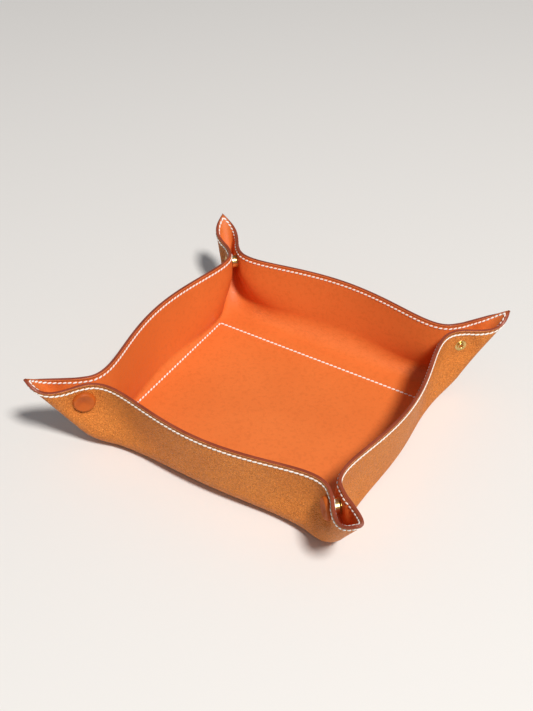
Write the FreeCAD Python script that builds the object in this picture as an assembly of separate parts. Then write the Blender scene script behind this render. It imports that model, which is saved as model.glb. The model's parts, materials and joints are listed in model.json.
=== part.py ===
import FreeCAD, Part
import math
import os
from FreeCAD import Vector

os.makedirs("parts", exist_ok=True)

# A square leather tray: one sheet of two bonded layers, bent up on four sides and pinched at each
# corner by a press stud, so that the sheet's corner stands out as a pointed ear.
# Millimetres, +Z up, the floor under the middle of the base at the origin.

# Leather sheet
lining_thickness = 1.0
outer_thickness = 1.0

# Base outline, where the flat floor ends and the bends begin
base_half_length = 77.5
base_half_width = 69.0
base_corner_reach = 68.5

# Bends, as radii of the glue line between the two layers
side_bend_radius = 6.0
end_bend_radius = 15.0
neck_bend_radius = 12.0
ridge_bend_radius = 30.0

# Rim, measured to the glue line: out from the middle along X or Y, and up from the floor
rim_middle_out = 88.0
rim_height = 47.5
neck_out = 81.2
neck_height = 47.5
tip_out = 106.0
tip_height = 55.0
neck_lining_gap = 4.5

# Folds where the sheet turns: how far from the middle of its wall each ear's fold stands, at the base
# and at the rim, and where the base's corners begin to round
corner_start = 60.0
ear_fold_base_offset = 74.0
ear_fold_rim_offset = 61.0
fold_clearance = 0.6
ridge_clearance = 0.4
ridge_base_clearance = 2.8

# Shares that shape the rings of the sheet, from the base edge at 0 to the rim at 1
bend_share = 0.35
split_share = 0.5
pinch_share = 0.75
turn_share = 0.8
ridge_slack_share = 0.8
middle_handle_share = 0.5
neck_handle_low_share = 0.33
neck_handle_high_share = 0.22
ear_start_handle_share = 0.33
ridge_handle_low_share = 0.35
ridge_handle_high_share = 0.5
neck_turn_angle = 45.0
foot_point_angle = 90.0
tip_point_angle = 42.0

# Stitching
thread_width = 0.8
thread_proud = 0.35
thread_clearance = 0.12
rim_stitch_inset = 2.4
frame_side_inset = 0.1
frame_end_inset = 11.4

# Stiffening board between the layers of the base
board_thickness = 0.6
board_inset = 2.0
board_clearance = 0.1

# Press studs
snap_out = 83.4
snap_height = 36.0
seat_depth = 0.25
snap_clearance = 0.1
cover_diameter = 13.5
cover_wall = 0.8
cover_dimple_diameter = 4.4
cover_dimple_depth = 0.4
cap_height = 1.3
cap_edge_height = 0.7
rivet_diameter = 3.8
rivet_bore = 2.4
rivet_curl_diameter = 4.6
rivet_curl_thickness = 0.4
socket_diameter = 10.0
socket_flange_thickness = 0.5
socket_body_diameter = 8.6
socket_bore = 5.5
socket_lip_thickness = 0.5
spring_wire = 0.5
spring_groove_depth = 0.55
spring_groove_width = 0.75
stud_flange_diameter = 9.6
stud_flange_thickness = 0.5
stud_neck_diameter = 3.9
stud_head_diameter = 4.7
stud_head_height = 1.1
stud_top_gap = 0.35
stud_wall = 0.45
eyelet_flange_diameter = 7.8
eyelet_flange_height = 0.7
eyelet_tube_diameter = 2.8
eyelet_hole = 2.0

# Counts of points across the sheet and one overrun for all cuts
bend_rows = 5
wall_rows = 6
half_columns = 9
base_columns = 6
base_pieces = 8
ear_columns = 14
overrun = 2.0
sewing_tolerance = 0.001
difference_step_share = 0.001
halvings = 40

root_two = math.sqrt(2)
up = Vector(0, 0, 1)
diagonal = Vector(1, 1, 0) / root_two
across = Vector(1, -1, 0) / root_two
glue_height = outer_thickness
neck_half_gap = neck_lining_gap / 2 + lining_thickness
half_fold_gap = fold_clearance / 2
split_ring = bend_share * split_share


class WallKind:
    def __init__(self, half_base, bend_radius):
        self.half_base = half_base
        self.bend_radius = bend_radius


side = WallKind(base_half_length, side_bend_radius)
end = WallKind(base_half_width, end_bend_radius)


def smooth(share):
    limited = min(1, max(0, share))
    return limited * limited * (3 - 2 * limited)


def mix(low, high, share):
    return low + (high - low) * share


def slope_of(start, finish, height, radius):
    # The straight stretch leaves the bend on the tangent that reaches the finish point.
    run = finish - start
    rise = height - glue_height - radius
    return math.atan2(rise, run) + math.asin(radius / math.hypot(run, rise))


def profile(start, finish, height, radius, ring):
    # Out and up along a flat floor's bend and the straight stretch after it.
    slope = slope_of(start, finish, height, radius)
    angle = slope * min(1, ring / bend_share)
    out = start + radius * math.sin(angle)
    level = glue_height + radius * (1 - math.cos(angle))
    if ring > bend_share:
        straight_share = (ring - bend_share) / (1 - bend_share)
        out = mix(out, finish, straight_share)
        level = mix(level, height, straight_share)
    return out, level, angle


def bezier(points, share):
    rest = 1 - share
    weights = [rest ** 3, 3 * rest * rest * share, 3 * rest * share * share, share ** 3]
    total = Vector()
    for point, weight in zip(points, weights):
        total = total + point * weight
    return total


def half_ridge_gap(ring):
    # The two halves of an ear stand apart on its ridge, most at the foot, and the base is whole.
    if ring <= split_ring:
        return 0
    slack = smooth((ring - split_ring) / (ridge_slack_share - split_ring))
    return mix(ridge_base_clearance, ridge_clearance, slack) / 2


def ring_curves(kind, ring):
    # Half a ring of the sheet: from the wall's middle to the neck, then round the ear to its ridge.
    # X runs out from the wall here and Y along it.
    middle_out, middle_level, _ = profile(kind.half_base, rim_middle_out, rim_height, kind.bend_radius, ring)
    middle = Vector(middle_out, 0, middle_level)
    corner_reach = base_corner_reach * root_two
    neck_reach, neck_level, _ = profile(
        corner_reach, neck_out * root_two, neck_height, neck_bend_radius, ring)
    standing = Vector(middle_out, corner_start, middle_level)
    pinched = diagonal * neck_reach + across * neck_half_gap + up * neck_level
    neck = standing + (pinched - standing) * smooth(ring / pinch_share)
    ridge_reach, ridge_level, ridge_slope = profile(
        corner_reach, tip_out * root_two, tip_height, ridge_bend_radius, ring)
    ridge_aside = half_ridge_gap(ring)
    ridge = diagonal * ridge_reach + across * ridge_aside + up * ridge_level
    turn = math.radians(neck_turn_angle) * smooth(ring / turn_share)
    heading = Vector(math.sin(turn), math.cos(turn), 0)
    point_angle = math.radians(mix(foot_point_angle, tip_point_angle, smooth(ring)))
    ridge_line = diagonal * math.cos(ridge_slope) + up * math.sin(ridge_slope)
    arrival = ridge_line * math.cos(point_angle) - across * math.sin(point_angle)
    wall_span = (neck - middle).Length
    ear_span = (ridge - neck).Length
    neck_handle = wall_span * mix(neck_handle_low_share, neck_handle_high_share, smooth(ring / turn_share))
    ridge_handle = ear_span * mix(ridge_handle_low_share, ridge_handle_high_share, smooth(ring))
    middle_handle = wall_span * middle_handle_share
    ear_handle = ear_span * ear_start_handle_share
    wall_curve = [middle, middle + Vector(0, middle_handle, 0), neck - heading * neck_handle, neck]
    ear_curve = [neck, neck + heading * ear_handle, ridge - arrival * ridge_handle, ridge]
    return wall_curve, ear_curve


def glue_point(kind, ring, station):
    # Station 0 is the wall's middle, 1 the neck and 2 the ridge, and less than 0 is the other half.
    wall_curve, ear_curve = ring_curves(kind, ring)
    if station > 1:
        return bezier(ear_curve, station - 1)
    point = bezier(wall_curve, abs(station))
    return point if station >= 0 else Vector(point.x, -point.y, point.z)


def lining_normal(kind, ring, station):
    if ring <= 0:
        return Vector(up)
    step = difference_step_share
    low_ring = max(0, ring - step)
    high_ring = min(1, ring + step)
    rise = glue_point(kind, high_ring, station) - glue_point(kind, low_ring, station)
    run = glue_point(kind, ring, min(2, station + step)) - glue_point(kind, ring, station - step)
    return rise.cross(run).normalize()


def station_at(kind, ring, along):
    # The station where the ring is this far along the wall.
    low = 0
    high = 1
    while glue_point(kind, ring, high).y < along:
        high = high + difference_step_share
    for _ in range(halvings):
        middle = (low + high) / 2
        if glue_point(kind, ring, middle).y < along:
            low = middle
        else:
            high = middle
    return (low + high) / 2


def bend_length(kind):
    slope = slope_of(kind.half_base, rim_middle_out, rim_height, kind.bend_radius)
    return slope * kind.bend_radius


def split_edge(kind, direction):
    # The ring beside the fold line at the middle of the bend, above it or below it.
    return split_ring + direction * half_fold_gap * bend_share / bend_length(kind)


def spread(low, high, count):
    return [mix(low, high, index / (count - 1)) for index in range(count)]


def upper_rings(kind, top=1):
    bend = spread(split_edge(kind, 1), bend_share, bend_rows)
    wall = spread(bend_share, top, wall_rows)
    return bend + wall[1:]


def place(wall, point, flip):
    # A point of a half wall, turned to its place on the tray.
    along = -point.y if flip else point.y
    if wall == "right":
        return Vector(point.x, along, point.z)
    if wall == "left":
        return Vector(-point.x, along, point.z)
    if wall == "back":
        return Vector(along, point.x, point.z)
    return Vector(along, -point.x, point.z)


def station_pair(wall, kind, ring, station, flip):
    point = place(wall, glue_point(kind, ring, station), flip)
    normal = place(wall, lining_normal(kind, ring, station), flip)
    return point, normal


def ear_fold_offset(ring):
    return mix(ear_fold_base_offset, ear_fold_rim_offset, (ring - split_ring) / (1 - split_ring))


def wall_grid(wall, kind, rings):
    rows = []
    for ring in rings:
        last = station_at(kind, ring, ear_fold_offset(ring) - half_fold_gap)
        stations = spread(0, last, half_columns)
        near = [station_pair(wall, kind, ring, station, True) for station in reversed(stations)]
        far = [station_pair(wall, kind, ring, station, False) for station in stations]
        rows.append(near + far[1:])
    return rows


def ear_grid(wall, kind, flip):
    rows = []
    for ring in upper_rings(kind):
        first = station_at(kind, ring, ear_fold_offset(ring) + half_fold_gap)
        stations = spread(first, 2, ear_columns)
        rows.append([station_pair(wall, kind, ring, station, flip) for station in stations])
    return rows


def base_grid(upper_half):
    # Half of the bend band round the base, from the middle of one side wall to the other's.
    walls = ["right", "back", "back", "left"] if upper_half else ["left", "front", "front", "right"]
    kinds = [side, end, end, side]
    flips = [False, False, True, False] if upper_half else [True, True, False, True]
    outward = spread(0, 1, base_columns) + spread(1, 2, base_columns)[1:]
    orders = [outward, outward[::-1], outward, outward[::-1]]
    rows = []
    for share in spread(0, 1, bend_rows):
        row = []
        for wall, kind, flip, order in zip(walls, kinds, flips, orders):
            ring = split_edge(kind, -1) * share
            pairs = [station_pair(wall, kind, ring, station, flip) for station in order]
            row = row + (pairs[1:] if row else pairs)
        rows.append(row)
    return rows


def chord_parameters(lines):
    # Even parameters for interpolation: each line's own chord lengths, averaged over the lines.
    totals = [0 for _ in lines[0]]
    for line in lines:
        length = sum((b - a).Length for a, b in zip(line, line[1:]))
        reached = 0
        for index in range(1, len(line)):
            reached = reached + (line[index] - line[index - 1]).Length
            totals[index] = totals[index] + reached / length
    return [total / len(lines) for total in totals]


def interpolated(points, parameters):
    curve = Part.BSplineCurve()
    curve.interpolate(Points=points, Parameters=parameters)
    return curve


def offset_surface(grid, distance):
    # A smooth surface through a grid of points: first along the rows, then across their poles.
    rows = [[point + normal * distance for point, normal in row] for row in grid]
    along = chord_parameters(rows)
    over = chord_parameters([list(column) for column in zip(*rows)])
    row_curves = [interpolated(row, along) for row in rows]
    pole_columns = zip(*[curve.getPoles() for curve in row_curves])
    column_curves = [interpolated(list(column), over) for column in pole_columns]
    poles = list(zip(*[curve.getPoles() for curve in column_curves]))
    row_curve = row_curves[0]
    column_curve = column_curves[0]
    surface = Part.BSplineSurface()
    surface.buildFromPolesMultsKnots(
        poles, column_curve.getMultiplicities(), row_curve.getMultiplicities(),
        column_curve.getKnots(), row_curve.getKnots(), False, False, column_curve.Degree, row_curve.Degree)
    return surface


def boundary(surface):
    first_u, last_u, first_v, last_v = surface.bounds()
    curves = [surface.uIso(first_u), surface.uIso(last_u), surface.vIso(first_v), surface.vIso(last_v)]
    return [curve.toShape() for curve in curves]


def closed_solid(faces):
    shell = Part.makeShell(faces)
    shell.sewShape(sewing_tolerance)
    solid = Part.makeSolid(shell)
    if solid.Volume < 0:
        solid.reverse()
    return solid


def sheet_layer(grid, low, high):
    # A curved sheet between two distances from the glue line.
    lower = offset_surface(grid, low)
    upper = offset_surface(grid, high)
    sides = [Part.makeRuledSurface(a, b) for a, b in zip(boundary(lower), boundary(upper))]
    return closed_solid([lower.toShape(), upper.toShape()] + sides)


def short_pieces(surface, count):
    # The surface cut into equal runs of its columns, so that no face goes far round the base.
    knots = surface.getVKnots()
    columns = (len(knots) - 1) // count
    first_u, last_u, _, _ = surface.bounds()
    pieces = []
    for index in range(count):
        piece = surface.copy()
        piece.segment(first_u, last_u, knots[index * columns], knots[(index + 1) * columns])
        pieces.append(piece)
    return pieces


def base_layer(low, high):
    # The flat floor and the lower half of the bends round it, as one solid.
    grids = [base_grid(True), base_grid(False)]
    faces = []
    rims = []
    for distance in (low, high):
        pieces = []
        for grid in grids:
            pieces = pieces + short_pieces(offset_surface(grid, distance), base_pieces)
        edges = [boundary(piece) for piece in pieces]
        faces = faces + [piece.toShape() for piece in pieces]
        faces.append(Part.Face(Part.Wire([edge_set[0] for edge_set in edges])))
        rims.append([edge_set[1] for edge_set in edges])
    faces = faces + [Part.makeRuledSurface(a, b) for a, b in zip(*rims)]
    return closed_solid(faces)


def turned(points):
    # A solid turned round Z from an outline in radius and height.
    corners = [Vector(radius, 0, height) for radius, height in points]
    face = Part.Face(Part.makePolygon(corners + corners[:1]))
    return face.revolve(Vector(), up, 360)


def save(name, shape):
    shape.exportStep("parts/" + name + ".step")
    print(name, len(shape.Solids), round(shape.Volume, 2), shape.isValid())


# Press stud, on its own axis: Z 0 is the diagonal plane, +Z the capped side, -Z the stud side.
lining_face = neck_lining_gap / 2
lining_seat = lining_face + seat_depth
outer_seat = lining_face + lining_thickness + outer_thickness - seat_depth
cover_radius = cover_diameter / 2
cap_radius = cover_radius - cover_wall
rivet_radius = rivet_diameter / 2
rivet_hole_radius = rivet_radius + snap_clearance
socket_floor = lining_seat - socket_flange_thickness
rivet_end = socket_floor - rivet_curl_thickness
stud_top = rivet_end - stud_top_gap
stud_seat = -lining_seat
stud_shoulder = stud_seat + stud_flange_thickness
stud_head_base = stud_top - stud_head_height
eyelet_radius = eyelet_tube_diameter / 2
eyelet_hole_radius = eyelet_radius + snap_clearance
eyelet_end = stud_shoulder + stud_wall
groove_base = stud_head_base - spring_groove_width
spring_level = (stud_head_base + groove_base) / 2
socket_mouth = groove_base - socket_lip_thickness
spring_radius = stud_head_diameter / 2 + spring_wire / 2 + snap_clearance


def snap_cap():
    edge_top = outer_seat + cap_edge_height
    return turned([
        (rivet_bore / 2, rivet_end), (rivet_curl_diameter / 2, rivet_end),
        (rivet_curl_diameter / 2, socket_floor), (rivet_radius, socket_floor), (rivet_radius, outer_seat),
        (cap_radius, outer_seat), (cap_radius, edge_top),
        (cover_dimple_diameter / 2, outer_seat + cap_height), (rivet_bore / 2, outer_seat + cap_height)])


def snap_cap_cover():
    # Leather drawn over the cap and pressed in at the middle.
    edge_top = outer_seat + cap_edge_height
    crown = outer_seat + cap_height
    dimple_radius = cover_dimple_diameter / 2
    return turned([
        (cap_radius, outer_seat), (cover_radius, outer_seat), (cover_radius, edge_top),
        (cap_radius, edge_top + cover_wall), (dimple_radius, crown + cover_wall),
        (dimple_radius * split_share, crown + cover_wall - cover_dimple_depth),
        (0, crown + cover_wall - cover_dimple_depth), (0, crown), (dimple_radius, crown),
        (cap_radius, edge_top)])


def snap_socket():
    flange_radius = socket_diameter / 2
    body_radius = socket_body_diameter / 2
    bore_radius = socket_bore / 2
    groove_radius = bore_radius + spring_groove_depth
    return turned([
        (rivet_hole_radius, lining_seat), (flange_radius, lining_seat), (flange_radius, socket_floor),
        (body_radius, socket_floor), (body_radius, socket_mouth), (bore_radius, socket_mouth),
        (bore_radius, groove_base), (groove_radius, groove_base), (groove_radius, stud_head_base),
        (bore_radius, stud_head_base), (bore_radius, socket_floor), (rivet_hole_radius, socket_floor)])


def snap_spring():
    return Part.makeTorus(spring_radius, spring_wire / 2, Vector(0, 0, spring_level), up)


def snap_stud():
    flange_radius = stud_flange_diameter / 2
    neck_radius = stud_neck_diameter / 2
    head_radius = stud_head_diameter / 2
    head_middle = stud_head_base + stud_head_height * split_share
    return turned([
        (eyelet_hole_radius, stud_seat), (flange_radius, stud_seat), (flange_radius, stud_shoulder),
        (neck_radius, stud_shoulder), (neck_radius, stud_head_base), (head_radius, head_middle),
        (neck_radius, stud_top), (0, stud_top), (0, stud_top - stud_wall),
        (eyelet_hole_radius, stud_top - stud_wall)])


def snap_eyelet():
    flange_radius = eyelet_flange_diameter / 2
    hole_radius = eyelet_hole / 2
    seat = -outer_seat
    crown = seat - eyelet_flange_height
    crown_radius = mix(hole_radius, flange_radius, split_share)
    return turned([
        (hole_radius, eyelet_end), (hole_radius, crown + eyelet_flange_height * split_share),
        (crown_radius, crown), (flange_radius, crown + eyelet_flange_height * split_share),
        (flange_radius, seat), (eyelet_radius, seat), (eyelet_radius, eyelet_end)])


def at_corner(shape, across_x, across_y):
    # Stands a press stud at a corner, its capped side towards the front or back wall.
    towards_cap = Vector(-across_x, across_y, 0) / root_two
    place_here = FreeCAD.Placement()
    place_here.Rotation = FreeCAD.Rotation(up, towards_cap)
    place_here.Base = Vector(snap_out * across_x, snap_out * across_y, snap_height)
    moved = shape.copy()
    moved.Placement = place_here
    return moved


def seat_tool(hole_radius, lining_radius, outer_radius, sign):
    # The rivet's hole through both layers and the pressed seats on their faces.
    lining_stop = lining_face - overrun
    outer_stop = outer_seat + overrun + overrun
    points = [(0, lining_stop), (lining_radius, lining_stop), (lining_radius, lining_seat),
              (hole_radius, lining_seat), (hole_radius, outer_seat), (outer_radius, outer_seat),
              (outer_radius, outer_stop), (0, outer_stop)]
    return turned([(radius, sign * height) for radius, height in points])


walls = {"front": end, "back": end, "left": side, "right": side}
corners = {
    "front_left": ("front", "left", -1, -1),
    "front_right": ("front", "right", 1, -1),
    "back_left": ("back", "left", -1, 1),
    "back_right": ("back", "right", 1, 1),
}

# Base: the outer leather, the board in a pocket under the lining, the lining and its stitched frame
base_lining = base_layer(0, lining_thickness)
frame_half_length = base_half_length - frame_side_inset
frame_half_width = base_half_width - frame_end_inset
board_half_length = frame_half_length - board_inset
board_half_width = frame_half_width - board_inset


def floor_block(half_length, half_width, height, level):
    corner = Vector(-half_length, -half_width, level)
    return Part.makeBox(2 * half_length, 2 * half_width, height, corner)


pocket = floor_block(board_half_length + board_clearance, board_half_width + board_clearance,
                     board_thickness, glue_height)
save("base_outer", base_layer(-outer_thickness, 0))
save("base_lining", base_lining.cut(pocket))
save("base_stiffener_board", floor_block(board_half_length, board_half_width, board_thickness, glue_height))
floor_top = glue_height + lining_thickness
frame_outline = floor_block(frame_half_length, frame_half_width, thread_proud, floor_top)
frame_inside = floor_block(frame_half_length - thread_width, frame_half_width - thread_width,
                           thread_proud, floor_top)
save("base_stitching", frame_outline.cut(frame_inside))

# Walls with the stitching along their rims, on both faces
for wall, kind in walls.items():
    grid = wall_grid(wall, kind, upper_rings(kind))
    save(wall + "_wall_outer", sheet_layer(grid, -outer_thickness, 0))
    save(wall + "_wall_lining", sheet_layer(grid, 0, lining_thickness))
    straight = rim_height - glue_height - kind.bend_radius
    ring_per_length = (1 - bend_share) / straight
    stitch_top = 1 - rim_stitch_inset * ring_per_length
    stitch_base = stitch_top - thread_width * ring_per_length
    strip = wall_grid(wall, kind, [stitch_base, stitch_top])
    inner_seat = lining_thickness + thread_clearance
    inner_thread = sheet_layer(strip, inner_seat, inner_seat + thread_proud)
    outer_seam = -outer_thickness - thread_clearance
    outer_thread = sheet_layer(strip, outer_seam - thread_proud, outer_seam)
    save(wall + "_wall_stitching", Part.makeCompound([inner_thread, outer_thread]))

# Ears: each corner has a half on the front or back wall and a half on the side wall
cap_tool = seat_tool(rivet_hole_radius, socket_diameter / 2 + snap_clearance,
                     cover_radius + snap_clearance, 1)
stud_tool = seat_tool(eyelet_hole_radius, stud_flange_diameter / 2 + snap_clearance,
                      eyelet_flange_diameter / 2 + snap_clearance, -1)
for corner, (end_wall, side_wall, across_x, across_y) in corners.items():
    halves = [("cap_half", end_wall, end, across_x < 0, cap_tool),
              ("stud_half", side_wall, side, across_y < 0, stud_tool)]
    for half, wall, kind, flip, tool in halves:
        grid = ear_grid(wall, kind, flip)
        hole = at_corner(tool, across_x, across_y)
        name = "ear_" + corner + "_" + half
        save(name + "_outer", sheet_layer(grid, -outer_thickness, 0).cut(hole))
        save(name + "_lining", sheet_layer(grid, 0, lining_thickness).cut(hole))
    pieces = {"snap_cap": snap_cap(), "snap_cap_cover": snap_cap_cover(), "snap_socket": snap_socket(),
              "snap_spring": snap_spring(), "snap_stud": snap_stud(), "snap_eyelet": snap_eyelet()}
    for piece, shape in pieces.items():
        save(piece + "_" + corner, at_corner(shape, across_x, across_y))
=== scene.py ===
import bpy
import json
import math
import numpy as np
from mathutils import Matrix, Vector


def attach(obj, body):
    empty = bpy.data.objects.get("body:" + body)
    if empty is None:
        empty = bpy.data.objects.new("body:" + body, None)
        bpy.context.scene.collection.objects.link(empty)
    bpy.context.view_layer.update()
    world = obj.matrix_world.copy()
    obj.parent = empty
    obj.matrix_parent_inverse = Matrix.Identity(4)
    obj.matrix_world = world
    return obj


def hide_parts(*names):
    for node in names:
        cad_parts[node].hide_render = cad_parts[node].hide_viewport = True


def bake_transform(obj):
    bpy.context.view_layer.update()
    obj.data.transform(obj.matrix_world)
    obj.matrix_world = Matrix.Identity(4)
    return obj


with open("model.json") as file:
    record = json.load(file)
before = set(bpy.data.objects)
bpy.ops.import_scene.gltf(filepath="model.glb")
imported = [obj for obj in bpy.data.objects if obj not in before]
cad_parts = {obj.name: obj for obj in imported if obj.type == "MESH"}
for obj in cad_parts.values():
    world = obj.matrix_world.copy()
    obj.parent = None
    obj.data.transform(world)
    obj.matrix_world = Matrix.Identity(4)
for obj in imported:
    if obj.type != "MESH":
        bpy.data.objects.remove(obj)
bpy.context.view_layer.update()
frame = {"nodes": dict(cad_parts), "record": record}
scene = bpy.context.scene
scene.view_settings.view_transform = "Standard"
print("frame loaded:", len(frame["nodes"]), "solids")

mm = 0.001
rootTwo = math.sqrt(2)

# The leather sheet, in millimetres, as it lies in the solids: rings run from the base edge up to the rim,
# stations from the middle of a wall (0) past the neck (1) to the ridge of the ear (2).
sheet = {
    "thick": 2.0, "glue": 1.0,
    "sideBase": 77.5, "endBase": 69.0, "cornerReach": 68.5,
    "sideBend": 6.0, "endBend": 15.0, "neckBend": 12.0, "ridgeBend": 30.0,
    "rimOut": 88.0, "rimHeight": 47.5, "neckOut": 81.2, "neckHeight": 47.5,
    "tipOut": 106.0, "tipHeight": 55.0, "neckHalfGap": 3.25, "cornerStart": 60.0,
    "foldBase": 74.0, "foldRim": 61.0, "ridgeGap": -0.05,
    "bendShare": 0.35, "pinchShare": 0.75, "turnShare": 0.8,
    "middleHandle": 0.5, "neckHandleLow": 0.33, "neckHandleHigh": 0.22, "earHandle": 0.33,
    "ridgeHandleLow": 0.35, "ridgeHandleHigh": 0.5, "neckTurn": 45.0, "footAngle": 90.0, "tipAngle": 42.0,
    "floorLap": 3.0, "rimRound": 0.55,
    "snapOut": 83.4, "snapHeight": 36.0, "pressedRadius": 6.6, "pressedEdge": 13.0,
}
splitRing = sheet["bendShare"] / 2
diagonal = np.array([1.0, 1.0, 0.0]) / rootTwo
across = np.array([1.0, -1.0, 0.0]) / rootTwo
upward = np.array([0.0, 0.0, 1.0])
sideKind = (sheet["sideBase"], sheet["sideBend"])
endKind = (sheet["endBase"], sheet["endBend"])
wallKinds = {"front": endKind, "back": endKind, "left": sideKind, "right": sideKind}
corners = {"front_left": ("front", "left"), "front_right": ("front", "right"),
           "back_left": ("back", "left"), "back_right": ("back", "right")}
flips = {}
for corner, (endWall, sideWall) in corners.items():
    flips[endWall, corner] = corner.endswith("left")
    flips[sideWall, corner] = corner.startswith("front")
farFromRim = 30.0
seamInset = 2.8
tiny = 1e-9


def halfName(wall):
    return "cap_half" if wall in ("front", "back") else "stud_half"


def ease(share):
    share = np.clip(share, 0, 1)
    return share * share * (3 - 2 * share)


def blendTo(low, high, share):
    return low + (high - low) * share


def lengths(vectors):
    return np.linalg.norm(vectors, axis=1)


def unit(vectors):
    return vectors / lengths(vectors)[:, None]


def bendProfile(start, finish, height, radius, ring):
    run = finish - start
    rise = height - sheet["glue"] - radius
    slope = math.atan2(rise, run) + math.asin(radius / math.hypot(run, rise))
    angle = slope * np.clip(ring / sheet["bendShare"], 0, 1)
    out = start + radius * np.sin(angle)
    level = sheet["glue"] + radius * (1 - np.cos(angle))
    straight = np.clip((ring - sheet["bendShare"]) / (1 - sheet["bendShare"]), 0, 1)
    return blendTo(out, finish, straight), blendTo(level, height, straight), angle


def cubic(a, b, c, d, share):
    s = share[:, None]
    r = 1 - s
    return a * r ** 3 + b * 3 * r * r * s + c * 3 * r * s * s + d * s ** 3


def gluePoint(kind, ring, station):
    ring = np.asarray(ring, float)
    station = np.asarray(station, float)
    lap = np.clip(-ring, 0, None)  # below ring 0 the sheet lies flat on the floor
    ring = np.clip(ring, 0, 1)
    mirrored = station < 0
    station = np.abs(station)
    midOut, midLevel, _ = bendProfile(kind[0], sheet["rimOut"], sheet["rimHeight"], kind[1], ring)
    zero = np.zeros_like(ring)
    middle = np.stack([midOut, zero, midLevel], 1)
    reach = sheet["cornerReach"] * rootTwo
    neckReach, neckLevel, _ = bendProfile(
        reach, sheet["neckOut"] * rootTwo, sheet["neckHeight"], sheet["neckBend"], ring)
    standing = np.stack([midOut, zero + sheet["cornerStart"], midLevel], 1)
    pinched = diagonal * neckReach[:, None] + across * sheet["neckHalfGap"] + upward * neckLevel[:, None]
    neck = standing + (pinched - standing) * ease(ring / sheet["pinchShare"])[:, None]
    ridgeReach, ridgeLevel, ridgeSlope = bendProfile(
        reach, sheet["tipOut"] * rootTwo, sheet["tipHeight"], sheet["ridgeBend"], ring)
    aside = np.where(ring > splitRing, sheet["ridgeGap"], 0.0)
    ridge = diagonal * ridgeReach[:, None] + across * aside[:, None] + upward * ridgeLevel[:, None]
    turned = ease(ring / sheet["turnShare"])
    turn = math.radians(sheet["neckTurn"]) * turned
    heading = np.stack([np.sin(turn), np.cos(turn), zero], 1)
    pointAngle = np.radians(blendTo(sheet["footAngle"], sheet["tipAngle"], ease(ring)))[:, None]
    ridgeLine = diagonal * np.cos(ridgeSlope)[:, None] + upward * np.sin(ridgeSlope)[:, None]
    arrival = ridgeLine * np.cos(pointAngle) - across * np.sin(pointAngle)
    wallSpan = lengths(neck - middle)
    earSpan = lengths(ridge - neck)
    neckHandle = wallSpan * blendTo(sheet["neckHandleLow"], sheet["neckHandleHigh"], turned)
    ridgeHandle = earSpan * blendTo(sheet["ridgeHandleLow"], sheet["ridgeHandleHigh"], ease(ring))
    along = np.stack([zero, wallSpan * sheet["middleHandle"], zero], 1)
    wallPoint = cubic(middle, middle + along, neck - heading * neckHandle[:, None], neck,
                      np.clip(station, 0, 1))
    earPoint = cubic(neck, neck + heading * (earSpan * sheet["earHandle"])[:, None],
                     ridge - arrival * ridgeHandle[:, None], ridge, np.clip(station - 1, 0, 1))
    point = np.where((station > 1)[:, None], earPoint, wallPoint)
    # the stud presses the sheet flat round its axis
    away = np.hypot(point @ diagonal - sheet["snapOut"] * rootTwo, point[:, 2] - sheet["snapHeight"])
    pressed = 1 - ease((away - sheet["pressedRadius"]) / (sheet["pressedEdge"] - sheet["pressedRadius"]))
    point = point + across * ((sheet["neckHalfGap"] - point @ across) * pressed)[:, None]
    if lap.any():
        step = 0.004
        ahead = gluePoint(kind, zero + step, station) - gluePoint(kind, zero, station)
        ahead[:, 2] = 0
        point = point - unit(ahead) * lap[:, None] * sheet["floorLap"]
    point[:, 1] = np.where(mirrored, -point[:, 1], point[:, 1])
    return point


def sheetNormal(kind, ring, station):
    step = 0.002
    ring = np.asarray(ring, float)
    station = np.asarray(station, float)
    above, below = np.minimum(1, ring + step), np.maximum(0, ring - step)
    rise = gluePoint(kind, above, station) - gluePoint(kind, below, station)
    run = gluePoint(kind, ring, np.minimum(2, station + step)) - gluePoint(kind, ring, station - step)
    normal = unit(np.cross(rise, run))
    normal[ring <= 0] = upward
    return normal


def seamFrame(kind, rings, stations):
    step = 0.004
    centre = gluePoint(kind, rings, stations)
    beyond, before = np.minimum(2, stations + step), stations - step
    ahead = gluePoint(kind, rings, beyond) - gluePoint(kind, rings, before)
    return centre, unit(ahead), sheetNormal(kind, rings, stations)


def rimGap(kind, ring, station):
    # distance from the rim along the sheet, in millimetres
    ring = np.asarray(ring, float)
    one = np.ones_like(ring)
    step = 0.05
    strip = gluePoint(kind, one, station) - gluePoint(kind, one * (1 - step), station)
    return (1 - ring) * lengths(strip) / step


def foldOffset(ring):
    return blendTo(sheet["foldBase"], sheet["foldRim"], (ring - splitRing) / (1 - splitRing))


def foldStation(kind, rings):
    # where each ring crosses the fold between wall and ear, carried straight down below the ear
    samples = 801
    stations = np.linspace(0, 2, samples)
    found = []
    for ring in np.maximum(rings, splitRing):
        y = gluePoint(kind, np.full_like(stations, ring), stations)[:, 1]
        first = int(np.argmax(y >= foldOffset(ring)))
        share = (foldOffset(ring) - y[first - 1]) / (y[first] - y[first - 1])
        found.append(stations[first - 1] + share * (stations[first] - stations[first - 1]))
    return np.array(found)


def placed(wall, points, flip):
    out, along, up = points[:, 0], points[:, 1] * (-1 if flip else 1), points[:, 2]
    turns = {"right": (out, along, up), "left": (-out, along, up),
             "back": (along, out, up), "front": (along, -out, up)}
    return np.stack(turns[wall], 1)


def deselect():
    if bpy.context.mode != "OBJECT":
        bpy.ops.object.mode_set(mode="OBJECT")
    bpy.ops.object.select_all(action="DESELECT")


def activate(obj):
    deselect()
    obj.select_set(True)
    bpy.context.view_layer.objects.active = obj


def smoothUnder(degrees):
    bpy.ops.object.shade_smooth_by_angle(angle=math.radians(degrees))


def linked(name, data):
    obj = bpy.data.objects.new(name, data)
    scene.collection.objects.link(obj)
    return obj


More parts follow.
